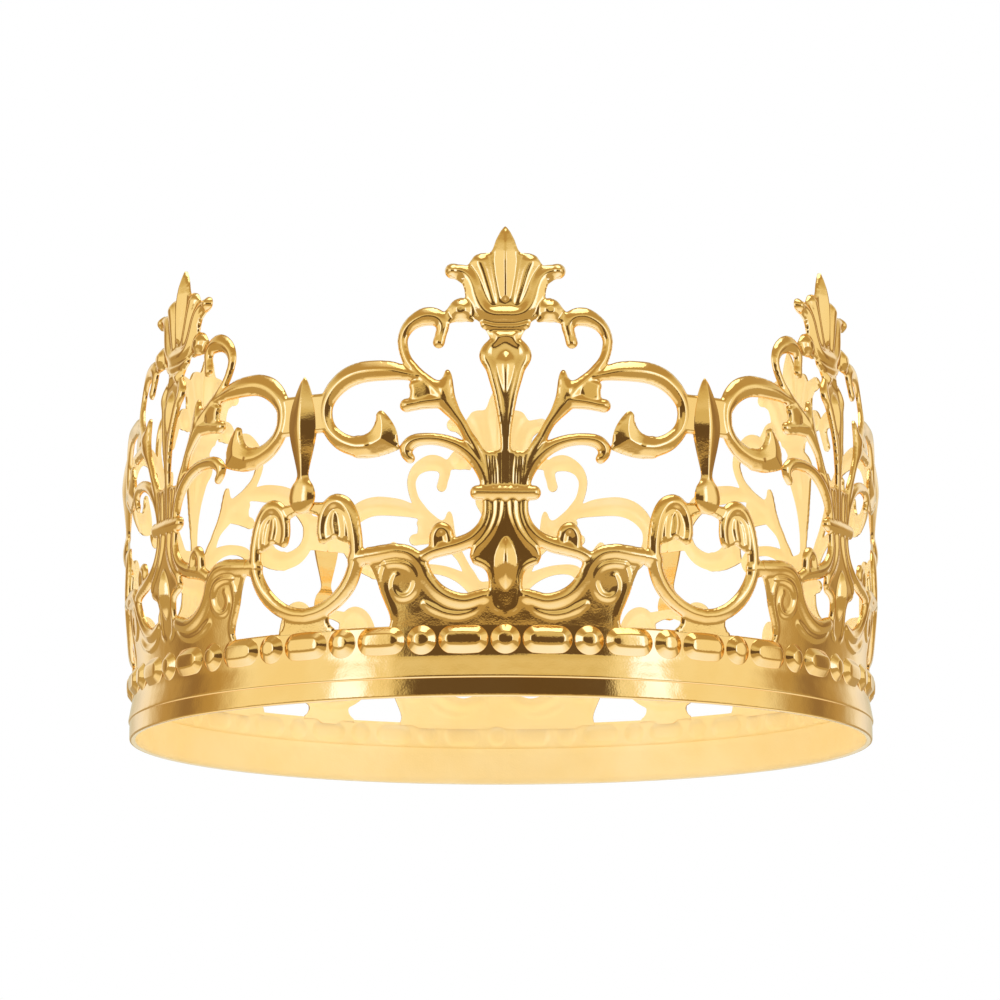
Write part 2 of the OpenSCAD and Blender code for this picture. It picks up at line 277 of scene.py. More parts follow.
def c_scroll(r):
    """Big C scroll that ends in a faceted horn."""
    r.stroke([[17.0, 61.0, 1.1], [19.4, 61.7, 1.3], [22.4, 62.4, 1.85], [26, 62.6, 2.05], [29, 62.35, 2.1],
              [31.8, 61.3, 2.05], [34.2, 59.3, 1.8], [35.6, 56.8, 1.45], [35.7, 54, 1.35],
              [34.6, 51.4, 1.4], [32.3, 49.3, 1.65], [29.4, 48.1, 1.85], [27.0, 47.9, 2.1]], 0.44)
    r.plate([[24.1, 54.7], [23.3, 54.1], [22.3, 52.9], [21.4, 51.4], [20.9, 50], [20.7, 48.5], [20.6, 47.2],
             [21.6, 46.7], [23.3, 46.2], [25.4, 45.8], [27.6, 45.85], [29.6, 46.3], [29.4, 49.9],
             [28, 50.1], [26.6, 50.6], [25.7, 51.6], [25.2, 52.9], [25.0, 54.2]], 3.4, 0.3, 1.1)


def low_branch(r):
    """Branch under the C scroll."""
    r.stroke([[3.4, 38.8, 0.95], [4.2, 41.8, 1.15], [5.8, 44.6, 1.3], [8.3, 46.9, 1.3], [11.5, 48.3, 1.15],
              [14.8, 48.8, 1.1], [17.5, 48.5, 1.25], [18.9, 47.4, 1.3], [19.0, 46.2, 1.1],
              [18.3, 45.2, 0.95]])


def clasp(r):
    """Bar that ties the branches together."""
    r.stroke([[0, 38.25, 1.4], [2.6, 38.25, 1.38], [5.3, 38.3, 1.4]], base=0.25)


def strands(r):
    """Strands that spread below the clasp, with their curl."""
    r.plate([[0, 37.2], [4.1, 37.2], [4.2, 34.5], [5.4, 31.6], [6.2, 28.5], [5.8, 26.5], [5.6, 24.9],
             [3.4, 24.8], [2.5, 23.6], [2.1, 21.6], [2.4, 17], [1.6, 15.6], [0, 15]], 0.5, 0.1,
            rounded=False, mirrored=True)
    r.stroke([[1.3, 36.6, 1.15], [1.5, 34, 1.05], [2.4, 31.4, 0.95], [3.9, 29.2, 0.9], [5.4, 27.7, 0.9],
              [6.0, 26.3, 0.75]])
    r.stroke([[3.4, 36.6, 0.85], [3.5, 34.2, 0.9], [4.4, 31.8, 1.05], [6.3, 29.7, 1.3], [8.8, 28.5, 1.45],
              [11.5, 27.8, 1.35], [14, 27.1, 1.25], [15.6, 26.3, 1.2]])
    r.plate([[9.9, 28.4], [10.6, 31.2], [12.2, 32.2], [13.9, 30.8], [14.2, 28.0]], 0.5, 0.1)
    r.stroke([[13.3, 28.2, 0.9], [13.3, 30.2, 1.1], [12.3, 31.6, 1.25], [11.1, 31.0, 1.15],
              [10.6, 29.2, 1.0]])


def lozenge(r):
    """Boss at the panel's foot and the rims of its leg."""
    r.plate([[0, 29.6], [0.9, 28.4], [1.6, 26.8], [1.85, 25], [1.6, 23], [1.0, 21.4], [0, 20.2]], 2.3, 0.55,
            1.4, mirrored=True, base=0.3)
    r.stroke([[5.6, 25.4, 0.75], [3.9, 24.6, 0.7], [2.9, 23.4, 0.65], [2.5, 21.4, 0.65], [2.5, 19, 0.65],
              [2.1, 17, 0.65], [1.2, 16.2, 0.55]])


def s_scroll_and_foot(r):
    """S scroll, spiral curl and foot plate."""
    r.plate([[0, 10], [21.5, 10], [21.5, 15.6], [22.7, 17.6], [23.8, 20], [24.6, 22.4], [25.4, 24.2],
             [26.2, 25.6], [20, 27], [16.5, 26], [15.6, 23], [12, 19.2], [8, 18.4], [3, 18.4], [0, 16.4]],
            0.5, 0.1, rounded=False, mirrored=True)
    r.stroke([[28.5, 26.9, 1.65], [25.8, 27.0, 1.65], [23.2, 27.3, 1.65], [20.8, 27.5, 1.55],
              [18.2, 26.9, 1.5], [16.2, 25, 1.45], [14.9, 22.4, 1.45], [12.9, 20, 1.5], [10.4, 18.4, 1.6],
              [7.6, 17.8, 1.6], [5.2, 18.3, 1.6], [4.0, 18.7, 1.5]], 0.44)
    r.stroke([[22.8, 25.2, 0.75], [20.4, 25.3, 0.8], [18.2, 24.6, 0.85], [16.9, 22.8, 0.85],
              [16.9, 20.8, 0.8], [18, 19.2, 0.75], [19.8, 18.9, 0.7], [21, 20, 0.65], [21.2, 21.6, 0.6],
              [20.7, 22.9, 0.5]], 0.5, base=0.1)
    r.stroke([[22.6, 25.0, 0.7], [23.2, 23.3, 0.8], [23.1, 21, 0.75], [22.2, 18.4, 0.7], [21.4, 16.2, 0.7],
              [21.2, 14.6, 0.55], [21.6, 13.2, 0.5]], 0.5)
    r.stroke([[4.6, 17.0, 0.6], [6.2, 15.9, 0.8], [8.8, 15.3, 0.9], [11.4, 15.7, 0.85], [13.4, 16.6, 1.0],
              [15.0, 17.6, 0.8]], 0.44)


def fleur_relief():
    """Half of the fleur panel, drawn from its middle line outwards."""
    r = Relief(41.0, SHEET_LOW, 91.5)
    for draw in (webs, finial, bud_and_stem, heart_scroll, thorn_and_knob, c_scroll, low_branch, clasp,
                 strands, lozenge, s_scroll_and_foot):
        draw(r)
    return r


# ---------------------------------------------------------------- the ring link
def link_relief():
    """Half of the heart-shaped ring with its pillar."""
    r = Relief(13.5, SHEET_LOW, 41.5)
    r.plate([[0, 38.3], [5.4, 37.8], [5.2, 35.4], [3.2, 35.4], [1.6, 36.0], [0, 36.2]], 0.6, 0.4,
            rounded=False, mirrored=True)
    r.plate([[0, 10], [6.4, 10], [6.2, 13.8], [5.4, 14.3], [4.9, 15.2], [4.9, 17], [0, 17]], 0.5, 0.1,
            rounded=False, mirrored=True)
    r.plate([[4.0, 31], [4.2, 36], [7, 37.4], [10.2, 35.4], [10.9, 31.5], [9.9, 29.7], [8.2, 30.2],
             [6.9, 30.8], [5.6, 30.4], [4.4, 29.9]], 0.5, 0.1)
    r.stroke([[0, 16.6, 1.35], [3, 17.1, 1.4], [6.2, 18.6, 1.45], [9.2, 21.4, 1.5], [11.0, 25, 1.45],
              [11.4, 28.5, 1.35], [11.0, 32, 1.4], [10.1, 35.2, 1.5], [8.5, 37.3, 1.6], [6.5, 37.7, 1.5],
              [4.8, 36.3, 1.2], [4.1, 34.2, 0.95], [4.0, 32.2, 0.9], [4.3, 30.8, 0.85]], 0.44)
    r.stroke([[6.8, 35.6, 0.5], [6.7, 33.6, 0.75], [7.1, 31.6, 0.7]], base=0.1)
    r.stroke([[7.6, 36.0, 0.45], [8.7, 34.8, 0.6], [9.2, 32.8, 0.6], [9.3, 31, 0.55]], base=0.1)
    r.stroke([[11.0, 26.6, 1.4], [12.6, 26.8, 1.6], [15.5, 26.9, 1.65]], 0.44)
    return r


# ---------------------------------------------------------------- meshes
# Blurs in cells: of the front relief, the hollow back and the outline
FRONT_BLUR = 0.7
BACK_BLUR = 2.2
EDGE_BLUR = 0.9
# How closely the back follows the front, and the thinnest metal
BACK_SHARE = 0.85
BACK_DROP = 0.12
THINNEST = 0.25
# Field values from which relief counts in the blurs, and from which the sheet has cells
SOLID_FROM = -0.15
CELLS_FROM = 0.02
# Rim points move at most this far in a pass, and take the field to be at least this steep (squared)
RIM_PASSES = 3
RIM_MOVE = 0.3
RIM_STEEP = 0.2


def blur(values, weight, sigma):
    """Gaussian blur in cells, ignoring what has no weight."""
    reach = int(3 * sigma + 1)
    kernel = np.exp(-0.5 * (np.arange(-reach, reach + 1) / sigma) ** 2)
    kernel /= kernel.sum()
    top, under = values * weight, weight.astype(float)
    for axis in (0, 1):
        pad = [(0, 0), (0, 0)]
        pad[axis] = (reach, reach)
        n = values.shape[axis]
        a, b = np.pad(top, pad, mode="edge"), np.pad(under, pad, mode="edge")
        top = sum(k * np.take(a, range(i, i + n), axis) for i, k in enumerate(kernel))
        under = sum(k * np.take(b, range(i, i + n), axis) for i, k in enumerate(kernel))
    return np.where(under > 1e-6, top / np.maximum(under, 1e-6), values)


def make_mesh(name, verts, quads, materials, tags=None, sharp=55):
    """A mesh of quads from arrays: verts in mm, smooth shaded, creased at sharp edges."""
    mesh = bpy.data.meshes.new(name)
    verts = np.asarray(verts, float) / MM
    quads = np.asarray(quads, np.int32)
    mesh.vertices.add(len(verts))
    mesh.vertices.foreach_set("co", verts.ravel())
    mesh.loops.add(quads.size)
    mesh.loops.foreach_set("vertex_index", quads.ravel())
    mesh.polygons.add(len(quads))
    mesh.polygons.foreach_set("loop_start", np.arange(0, quads.size, 4, dtype=np.int32))
    mesh.polygons.foreach_set("loop_total", np.full(len(quads), 4, np.int32))
    for material in materials:
        mesh.materials.append(material)
    if tags is not None:
        mesh.polygons.foreach_set("material_index", np.asarray(tags, np.int32))
    mesh.update(calc_edges=True)
    mesh.shade_smooth()
    mesh.set_sharp_from_angle(angle=math.radians(sharp))
    return mesh


def sample(grid, u, v, axes):
    """Bilinear value of a grid at points."""
    across, up = axes
    x = np.clip((u - across[0]) / CELL, 0, grid.shape[1] - 1.001)
    y = np.clip((v - up[0]) / (up[1] - up[0]), 0, grid.shape[0] - 1.001)
    i, j = x.astype(int), y.astype(int)
    fx, fy = x - i, y - j
    return ((grid[j, i] * (1 - fx) + grid[j, i + 1] * fx) * (1 - fy)
            + (grid[j + 1, i] * (1 - fx) + grid[j + 1, i + 1] * fx) * fy)


def both_halves(half):
    """A full grid from the half beside the middle line."""
    return np.hstack([half[:, :0:-1], half])


def grid_quads(keep):
    """Quads over the cells whose four corners are kept, and the grid points that they use."""
    cell = keep[:-1, :-1] & keep[1:, :-1] & keep[:-1, 1:] & keep[1:, 1:]
    index = np.arange(keep.size).reshape(keep.shape)
    corners = index[:-1, :-1], index[:-1, 1:], index[1:, 1:], index[1:, :-1]
    used, quads = np.unique(np.stack([c[cell] for c in corners], 1), return_inverse=True)
    return used, quads.reshape(-1, 4)


def rim_edges(quads, count):
    """Edges that only one quad has."""
    edges = np.concatenate([quads[:, [k, (k + 1) % 4]] for k in range(4)])
    code = edges[:, 0].astype(np.int64) * count + edges[:, 1]
    twin = edges[:, 1].astype(np.int64) * count + edges[:, 0]
    return edges[~np.isin(code, twin)]


def sheet_mesh(name, r, inside, materials):
    """A pierced, pressed sheet bent round the crown's front, from one half of its relief."""
    solid = r.inside > SOLID_FROM
    bevel = BEVEL * np.sqrt(1 - (1 - np.clip(r.inside / BEVEL, 0, 1)) ** 2) * BEVEL_RISE
    front = RIM + bevel + np.maximum(blur(r.height, solid, FRONT_BLUR), 0)
    hollow = np.maximum(blur(r.height, solid, BACK_BLUR) * BACK_SHARE - BACK_DROP, 0)
    field, front, hollow = both_halves(inside), both_halves(front), both_halves(hollow)
    field = blur(field, np.ones_like(field), EDGE_BLUR)
    u = np.concatenate([-r.u[:0:-1], r.u])
    axes = (u, r.v)
    up, across = np.gradient(field, r.v[1] - r.v[0], CELL)
    used, quads = grid_quads(field > CELLS_FROM)
    U, V = np.meshgrid(u, r.v)
    pu, pv = U.ravel()[used], V.ravel()[used]
    rim = rim_edges(quads, len(used))

    # Rim points slide along the field's slope onto the true outline
    on_rim = np.unique(rim)
    ru, rv = pu[on_rim], pv[on_rim]
    for _ in range(RIM_PASSES):
        a, b = sample(across, ru, rv, axes), sample(up, ru, rv, axes)
        steep = np.maximum(a * a + b * b, RIM_STEEP)
        scale = np.clip(sample(field, ru, rv, axes) / steep, -RIM_MOVE, RIM_MOVE)
        ru, rv = ru - a * scale, rv - b * scale
    pu[on_rim], pv[on_rim] = ru, rv

    front_z = sample(front, pu, pv, axes)
    back_z = np.minimum(sample(hollow, pu, pv, axes), front_z - THINNEST)
    turn = turn_at(pu, pv)
    sides = []
    for level in (front_z, back_z):
        radius = wall_r(pv) + level
        sides.append(np.stack([radius * np.sin(turn), -radius * np.cos(turn), pv], 1))
    count = len(used)
    walls = np.stack([rim[:, 1], rim[:, 0], rim[:, 0] + count, rim[:, 1] + count], 1)
    faces = np.vstack([quads, walls, quads[:, ::-1] + count])
    tags = np.concatenate([np.zeros(len(quads) + len(walls)), np.ones(len(quads))])
    return make_mesh(name, np.vstack(sides), faces, materials, tags)


def loft(rows, closed_v=False):
    """Quads over closed rows of vertex numbers, and from the last row to the first if closed_v."""
    rows = np.hstack([rows, rows[:, :1]])
    if closed_v:
        rows = np.vstack([rows, rows[:1]])
    corners = rows[:-1, :-1], rows[:-1, 1:], rows[1:, 1:], rows[1:, :-1]
    return np.stack([c.ravel() for c in corners], 1)


def ring_surface(profile, turns):
    """A closed [radius, height] profile carried round the axis: its vertices and their numbers by row."""
    t = np.arange(turns) * 2 * np.pi / turns
    r, z = profile[:, :1], profile[:, 1:]
    verts = np.stack([r * np.sin(t), -r * np.cos(t), z + 0 * t], -1)
    return verts, np.arange(len(profile) * turns).reshape(len(profile), turns)


def ring_tags(front_rows, rows, turns):
    """Material numbers of a ring's quads: the polished front rows come first, then the satin back."""
    return (np.arange(rows) >= front_rows).astype(int).repeat(turns)


def add_piece(name, mesh, nodes, turn=0.0):
    """A copy of a mesh, turned round the axis, in place of its CAD nodes."""
    mesh = mesh.copy()
    mesh.name = name
    mesh.transform(Matrix.Rotation(math.radians(turn), 4, "Z"))
    piece = bpy.data.objects.new(name, mesh)
    bpy.context.scene.collection.objects.link(piece)
    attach(piece, "root")
    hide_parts(*nodes)


# ---------------------------------------------------------------- materials
# How fine the patterns of the gold are, and how deep its waviness and its grain
TINT_SCALE = 70
MARK_SCALE = 900
WAVE_SCALE = 260
GRAIN_SCALE = 2600
WAVE_DEPTH = 0.001
GRAIN_DEPTH = 0.0002


def nodes_of(material):
    """A material's node tree, emptied."""
    material.use_nodes = True
    tree = material.node_tree
    tree.nodes.clear()
    return tree


def gold(name, light, deep, metallic, rough_low, rough_high, bump, wave):
    """Polished or satin gold: a slow colour drift, polishing marks and a soft pressed waviness."""
    material = bpy.data.materials.new(name)
    tree = nodes_of(material)
    new, link = tree.nodes.new, tree.links.new
    out = new("ShaderNodeOutputMaterial")
    shader = new("ShaderNodeBsdfPrincipled")
    link(shader.outputs["BSDF"], out.inputs["Surface"])
    shader.inputs["Metallic"].default_value = metallic
    coords = new("ShaderNodeTexCoord")

    def noise(scale, detail=3.0, rough=0.5):
        """A noise over the object's own coordinates."""
        n = new("ShaderNodeTexNoise")
        n.inputs["Scale"].default_value = scale
        n.inputs["Detail"].default_value = detail
        n.inputs["Roughness"].default_value = rough
        link(coords.outputs["Object"], n.inputs["Vector"])
        return n

    tint = new("ShaderNodeValToRGB")
    tint.color_ramp.elements[0].position = 0.35
    tint.color_ramp.elements[0].color = (*deep, 1)
    tint.color_ramp.elements[1].position = 0.65
    tint.color_ramp.elements[1].color = (*light, 1)
    link(noise(TINT_SCALE).outputs["Fac"], tint.inputs["Fac"])
    link(tint.outputs["Color"], shader.inputs["Base Color"])
    rough = new("ShaderNodeMapRange")
    rough.inputs["From Min"].default_value = 0.35
    rough.inputs["From Max"].default_value = 0.7
    rough.inputs["To Min"].default_value = rough_low
    rough.inputs["To Max"].default_value = rough_high
    link(noise(MARK_SCALE, 4.0, 0.6).outputs["Fac"], rough.inputs["Value"])
    link(rough.outputs["Result"], shader.inputs["Roughness"])
    soft = new("ShaderNodeBump")
    soft.inputs["Strength"].default_value = wave
    soft.inputs["Distance"].default_value = WAVE_DEPTH
    link(noise(WAVE_SCALE, 1.0).outputs["Fac"], soft.inputs["Height"])
    fine = new("ShaderNodeBump")
    fine.inputs["Strength"].default_value = bump
    fine.inputs["Distance"].default_value = GRAIN_DEPTH
    link(noise(GRAIN_SCALE, 2.0).outputs["Fac"], fine.inputs["Height"])
    link(soft.outputs["Normal"], fine.inputs["Normal"])
    link(fine.outputs["Normal"], shader.inputs["Normal"])
    return material


polished = gold("polished_gold", (1.0, 0.66, 0.22), (0.97, 0.60, 0.17), 1.0, 0.05, 0.10, 0.05, 0.06)
satin = gold("satin_gold", (1.0, 0.76, 0.32), (0.98, 0.72, 0.27), 0.25, 0.32, 0.45, 0.10, 0.10)

# ---------------------------------------------------------------- panels and links
# Degrees from one panel to the next, and half of what a panel and a link take up
PANEL_STEP = 60
PANEL_HALF = 30
LINK_HALF = 10
panel_names = ["front", "front_right", "back_right", "back", "back_left", "front_left"]
link_names = ["front_right", "right", "back_right", "back_left", "left", "front_left"]

fleur = fleur_relief()
fleur_mesh = sheet_mesh("fleur_sheet", fleur, cut_sheet(fleur, PANEL_HALF - LINK_HALF, PANEL_HALF),
                        (polished, satin))
ring = link_relief()
link_mesh = sheet_mesh("link_sheet", ring, cut_sheet(ring, LINK_HALF, LINK_HALF), (polished, satin))
for i, (panel, joint) in enumerate(zip(panel_names, link_names)):
    add_piece("panel_" + panel, fleur_mesh, ["fleur_panel_" + panel], turn=PANEL_STEP * i)
    add_piece("link_" + joint, link_mesh, ["ring_link_" + joint], turn=PANEL_STEP * i + PANEL_HALF)

# ---------------------------------------------------------------- spindles
# Half width, height and depth of the spindle on its ball, from the bottom up
SPINDLE = [[0.05, 35.9, 0.1], [1.4, 36.3, 0.5], [2.4, 37.4, 0.9], [2.8, 38.6, 1.1], [2.8, 39.8, 1.1],
           [2.4, 41.2, 0.9], [1.6, 42.3, 0.7], [1.2, 43.2, 0.6], [1.25, 44.2, 0.6], [1.65, 46, 0.75],
           [2.3, 48.7, 1.0], [2.8, 51.3, 1.25], [2.9, 53.2, 1.3], [2.65, 55.6, 1.15], [2.05, 58, 0.9],
           [1.25, 60.3, 0.6], [0.6, 61.8, 0.35], [0.05, 62.5, 0.1]]
# Its ridged section, as shares of the half width and the depth
SECTION = [(-1.0, -0.6), (-1.0, 0.0), (-0.58, 0.46), (-0.17, 0.88), (-0.06, 0.96), (0.06, 0.96),
           (0.17, 0.88), (0.58, 0.46), (1.0, 0.0), (1.0, -0.6)]
# Height where the round ball has wholly given way to the ridge, and over how much height it does
BALL_END = 43.0
BALL_BLEND = 1.2
SPINDLE_LIFT = 0.3


def spindle_mesh():
    """A ridged spindle on a round ball, standing out over the joint."""
    rows = spline(SPINDLE, step=0.35)
    turn = np.linspace(-0.15, math.pi + 0.15, len(SECTION))
    verts = []
    for half, z, depth in rows:
        ball = np.clip((BALL_END - z) / BALL_BLEND, 0, 1)
        ridge = np.array(SECTION) * [half, depth]
        bulge = np.stack([-half * np.cos(turn), depth * np.sin(turn)], 1)
        base = wall_r(z) + PLATE + SPINDLE_LIFT
        verts += [(x, -(base + y), z) for x, y in ridge * (1 - ball) + bulge * ball]
    ids = np.arange(len(verts)).reshape(len(rows), len(SECTION))
    return make_mesh("spindle", verts, loft(ids), (polished,), sharp=41)


spindle = spindle_mesh()
for i, joint in enumerate(link_names):
    add_piece("spindle_piece_" + joint, spindle, ["spindle_" + joint], turn=PANEL_STEP * i + PANEL_HALF)

# ---------------------------------------------------------------- gallery and band
TURNS = 1440
BAND_TURNS = 720
BEADS = 30
BEAD_STEP = 2 * math.pi / BEADS
BEAD_Z = 10.8
BEAD_R = 2.8
OVAL_R = BEAD_R * 0.97
OVAL_REACH = 1.95
BOSS_RISE = 1.2
BEAD_SIDES = 40
OVAL_SIDES = 56
# A boss from its buried edge to its top: share of its radius, and share of its rise
BOSS_ROWS = [(1.0, -0.2), (1.0, 0.0), (0.985, 0.05), (0.94, 0.13), (0.82, 0.33), (0.7, 0.54), (0.58, 0.74),
             (0.51, 0.86), (0.45, 0.92), (0.36, 0.95), (0.18, 1.0)]
# Back of the gallery strip above and behind the band, and the band's face behind the strip
STRIP_BACK = 74.85
STRIP_LIP = 74.95
STRIP_SEAT = 75.02
BAND_SEAT = 74.95
BAND_LIP = 74.85
# The hollow behind a bead or an oval: its radius, its depth and where the strip's plain back ends
BEAD_HOLLOW = 2.2
OVAL_HOLLOW = 2.1
HOLLOW_DEPTH = 0.35
HOLLOW_FROM = 8.0


def boss_height(t, z, centre_turn, reach, radius):
    """1 at a boss's middle to 0 at its edge, over a wall."""
    across = (t - centre_turn + math.pi) % (2 * math.pi) - math.pi
    along = np.maximum(np.abs(across * BAND_R) - reach, 0)
    d = np.hypot(along, z - BEAD_Z) / radius
    return 1 - np.clip(d, 0, 1) ** 3


def boss_shell(k):
    """Rows of vertices of boss k, from its edge to its top: beads are even and ovals odd."""
    reach, radius, sides = (OVAL_REACH, OVAL_R, OVAL_SIDES) if k % 2 else (0.0, BEAD_R, BEAD_SIDES)
    # An oval's round ends stand apart by its reach each way, joined by straight sides
    a = np.linspace(0, 2 * np.pi, sides, endpoint=False)
    stretch = np.sign(np.cos(a)) * reach * np.minimum(1, np.abs(np.cos(a)) * 3)
    rows = []
    for share, rise in BOSS_ROWS:
        turn = k * BEAD_STEP / 2 + (stretch + radius * share * np.cos(a)) / BAND_R
        r = WALL_R + BOSS_RISE * rise
        z = BEAD_Z + radius * share * np.sin(a)
        rows.append(np.stack([r * np.sin(turn), -r * np.cos(turn), z], -1))
    return np.array(rows)


def gallery_mesh():
    """The ledge moulding and the strip above it, with hollow-backed beads and ovals."""
    low = GALLERY_LOW
    outer = spline([[75.1, low], [75.8, low + 0.02], [76.02, low + 0.18], [76.05, low + 0.4],
                    [75.85, low + 1.5], [75.65, low + 2.6], [75.48, low + 3.5], [75.38, low + 4.1],
                    [WALL_R, low + 4.5], [WALL_R, 10.5], [WALL_R, 13.2], [WALL_R - 0.1, 13.5],
                    [WALL_R - 0.3, GALLERY_TOP]], step=0.25)
    inner = [[STRIP_LIP, GALLERY_TOP - 0.02]]
    inner += [[STRIP_BACK, z] for z in np.linspace(GALLERY_TOP - 0.15, HOLLOW_FROM, 18)]
    inner += [[STRIP_SEAT, HOLLOW_FROM - 0.1], [STRIP_SEAT, low]]
    profile = np.vstack([outer, inner])
    grid, ids = ring_surface(profile, TURNS)

    t = np.arange(TURNS) * 2 * np.pi / TURNS
    z = profile[:, 1:] + 0 * t
    hollow = np.zeros(z.shape)
    for k in range(BEADS):
        hollow = np.maximum(hollow, boss_height(t, z, k * BEAD_STEP, 0, BEAD_HOLLOW))
        hollow = np.maximum(hollow, boss_height(t, z, (k + 0.5) * BEAD_STEP, OVAL_REACH, OVAL_HOLLOW))
    behind = (np.arange(len(profile)) > len(outer)) & (profile[:, 1] > HOLLOW_FROM + 0.05)
    push = np.where(behind[:, None], hollow * HOLLOW_DEPTH, 0)
    grid[..., :2] *= (1 + push / np.hypot(grid[..., 0], grid[..., 1]))[..., None]

    verts, quads = [grid.reshape(-1, 3)], [loft(ids, closed_v=True)]
    tags = [ring_tags(len(outer), len(profile), TURNS)]
    count = ids.size
    for k in range(2 * BEADS):
        shell = boss_shell(k)
        rows, sides = shell.shape[:2]
        ids = count + np.arange(rows * sides).reshape(rows, sides)
        last = ids[-1]
        cap = [[last[i], last[i + 1], last[-2 - i], last[-1 - i]] for i in range(sides // 2 - 1)]
        verts.append(shell.reshape(-1, 3))
        quads += [loft(ids), np.array(cap)]
        tags.append(np.zeros((rows - 1) * sides + len(cap)))
        count += rows * sides
    return make_mesh("gallery", np.vstack(verts), np.vstack(quads), (polished, satin), np.concatenate(tags),
                     sharp=50)


def band_mesh():
    """The plain band: full out to its face below the ledge, and stepped back behind the gallery strip."""
    shelf = GALLERY_LOW + 0.3
    outer = [[SHEET_R - 0.4, 0.0], [SHEET_R - 0.2, 0.02], [SHEET_R - 0.06, 0.12], [SHEET_R, 0.35]]
    outer += [[SHEET_R, z] for z in np.linspace(0.8, shelf, 8)]
    outer += [[BAND_SEAT, shelf], [BAND_SEAT, BAND_TOP - 0.1], [BAND_LIP, BAND_TOP]]
    inner = [[BAND_R - 0.45, BAND_TOP - 0.05]]
    inner += [[BAND_R - 0.5, z] for z in np.linspace(BAND_TOP - 0.4, 0.4, 8)]
    inner += [[BAND_R - 0.4, 0.1]]
    profile = np.array(outer + inner)
    verts, ids = ring_surface(profile, BAND_TURNS)
    tags = ring_tags(len(outer), len(profile), BAND_TURNS)
    return make_mesh("band", verts.reshape(-1, 3), loft(ids, closed_v=True), (polished, satin), tags,
                     sharp=50)


add_piece("gallery", gallery_mesh(), ["bead_gallery"])
add_piece("band", band_mesh(), ["head_band"])

# ---------------------------------------------------------------- stage, light and camera
scene = bpy.context.scene
scene.view_settings.view_transform = "Standard"


def shader_kit(tree):
    """Functions that add a node, link two sockets and make a colour ramp in a node tree."""
    new, link = tree.nodes.new, tree.links.new

    def ramp(value, stops, low=0.0, high=1.0):
        """A value to a colour, by stops of (value, (r, g, b))."""
        node = new("ShaderNodeValToRGB")
        node.color_ramp.interpolation = "EASE"
        elements = node.color_ramp.elements
        while len(elements) < len(stops):
            elements.new(0.5)
        for element, (at, colour) in zip(elements, stops):
            element.position = (at - low) / (high - low)
            element.color = (*colour, 1)
        if (low, high) != (0.0, 1.0):
            span = new("ShaderNodeMapRange")
            span.inputs["From Min"].default_value = low
            span.inputs["From Max"].default_value = high
            link(value, span.inputs["Value"])
            value = span.outputs["Result"]
        link(value, node.inputs["Fac"])
        return node.outputs["Color"]

    return new, link, ramp


# The floor: plain and pale to the eye, and to the gold a pool of light that darkens away from the crown
FLOOR_Z = -0.32
FLOOR_HALF = 6.0
POOL = [(0.35, (1.04, 1.28, 2.3)), (0.66, (0.97, 1.0, 1.15)), (1.0, (0.5, 0.42, 0.28))]
corners = [(-FLOOR_HALF, -FLOOR_HALF, FLOOR_Z), (FLOOR_HALF, -FLOOR_HALF, FLOOR_Z),
           (FLOOR_HALF, FLOOR_HALF, FLOOR_Z), (-FLOOR_HALF, FLOOR_HALF, FLOOR_Z)]
floor_mesh = bpy.data.meshes.new("floor")
floor_mesh.from_pydata(corners, [], [(0, 1, 2, 3)])
floor = bpy.data.objects.new("floor", floor_mesh)
scene.collection.objects.link(floor)
floor_paint = bpy.data.materials.new("floor_paint")
new, link, ramp = shader_kit(nodes_of(floor_paint))
paint = new("ShaderNodeBsdfPrincipled")
paint.inputs["Base Color"].default_value = (0.6, 0.6, 0.61, 1)
paint.inputs["Roughness"].default_value = 0.9
paint.inputs["Specular IOR Level"].default_value = 0.1
spread = new("ShaderNodeVectorMath")
spread.operation = "LENGTH"
link(new("ShaderNodeTexCoord").outputs["Object"], spread.inputs[0])
glow = new("ShaderNodeEmission")
link(ramp(spread.outputs["Value"], POOL), glow.inputs["Color"])
either = new("ShaderNodeMixShader")
link(new("ShaderNodeLightPath").outputs["Is Camera Ray"], either.inputs["Fac"])
link(glow.outputs["Emission"], either.inputs[1])
link(paint.outputs["BSDF"], either.inputs[2])
link(either.outputs[0], new("ShaderNodeOutputMaterial").inputs["Surface"])
floor_mesh.materials.append(floor_paint)

# The studio as the gold shows it: a dark doorway in front, white panels beside it, amber walls above
DARK = (0.133, 0.097, 0.072)
BROWN = (0.30, 0.22, 0.15)
AMBER = (0.50, 0.40, 0.24)
GOLDEN = (0.69, 0.66, 0.52)
LIGHT = (0.96, 1.02, 1.15)
CREAM = (1.0, 1.15, 1.9)
WHITE = (1.3, 1.7, 3.6)
SOFT = (1.65, 1.6, 1.6)
BLACK, FULL = (0, 0, 0), (1, 1, 1)
# Colours by the angle from the front, and by height: angles in degrees
AROUND = [(0, GOLDEN), (30, GOLDEN), (39, LIGHT), (44, WHITE), (50, WHITE), (56, LIGHT), (84, LIGHT),
          (100, AMBER), (112, BROWN), (126, AMBER), (144, LIGHT), (164, GOLDEN), (180, GOLDEN)]
OVER = [(-90, CREAM), (-14, LIGHT), (24, LIGHT), (36, GOLDEN), (46, AMBER), (60, AMBER), (74, LIGHT),
        (90, CREAM)]
# Where the wall colours by angle stand in for those by height
LEVEL = [(-16, BLACK), (-11, FULL), (25, FULL), (33, BLACK)]
# The doorway: a low wide part and a tall narrow part, each by angle to the right and by height
DOORWAY = [([(-29, BLACK), (-24, FULL), (31, FULL), (36, BLACK)],
            [(-16, BLACK), (-12, FULL), (12.5, FULL), (16, BLACK)]),
           ([(-32, BLACK), (-27, FULL), (2, FULL), (9, BLACK)],
            [(-16, BLACK), (-12, FULL), (18, FULL), (24, BLACK)])]

